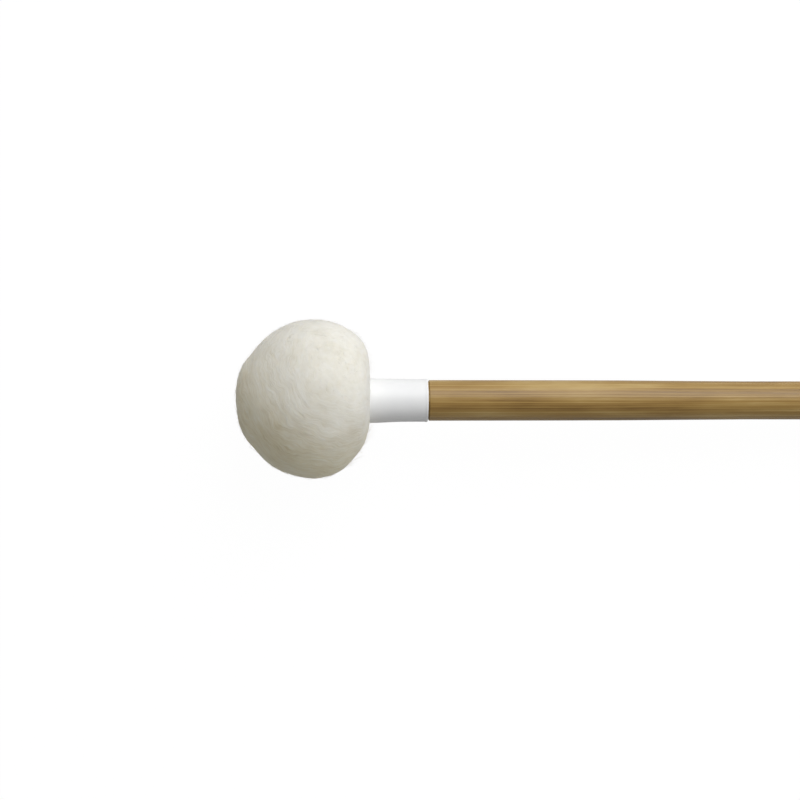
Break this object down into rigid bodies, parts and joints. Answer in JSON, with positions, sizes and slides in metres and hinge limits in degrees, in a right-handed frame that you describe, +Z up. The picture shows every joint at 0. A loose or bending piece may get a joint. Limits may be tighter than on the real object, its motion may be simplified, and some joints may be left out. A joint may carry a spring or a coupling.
{
  "type": "timpani mallet",
  "caption": "Timpani mallet: a soft wool felt head on a slim bamboo shaft, with a white sleeve at the neck.",
  "frame": {"origin": "middle of the footprint of the mallet lying at rest, on the table", "axes": "+X from the head to the butt, +Y to the picture's top, +Z up; the shaft slopes down 2.8 degrees towards +X, because the head is thicker than the shaft"},
  "size_m": [0.3698, 0.0454, 0.0447],
  "materials": {
    "wool": "matt cream wool felt",
    "hard_felt": "matt hard felt",
    "pad_felt": "matt felt",
    "linen_thread": "twisted thread",
    "bamboo": "sanded and thinly lacquered bamboo",
    "hardwood": "plain sanded hardwood",
    "turned_wood": "plain turned wood",
    "white_vinyl": "smooth white, satin"
  },
  "bodies": {
    "root": {"wool_head": "wool", "neck_sleeve": "white_vinyl", "bamboo_shaft": "bamboo", "butt_plug": "hardwood", "tip_dowel": "hardwood", "head_core": "turned_wood", "core_liner": "hard_felt", "nose_pad": "pad_felt", "back_washer": "pad_felt", "gather_thread": "linen_thread"}
  },
  "joints": []
}
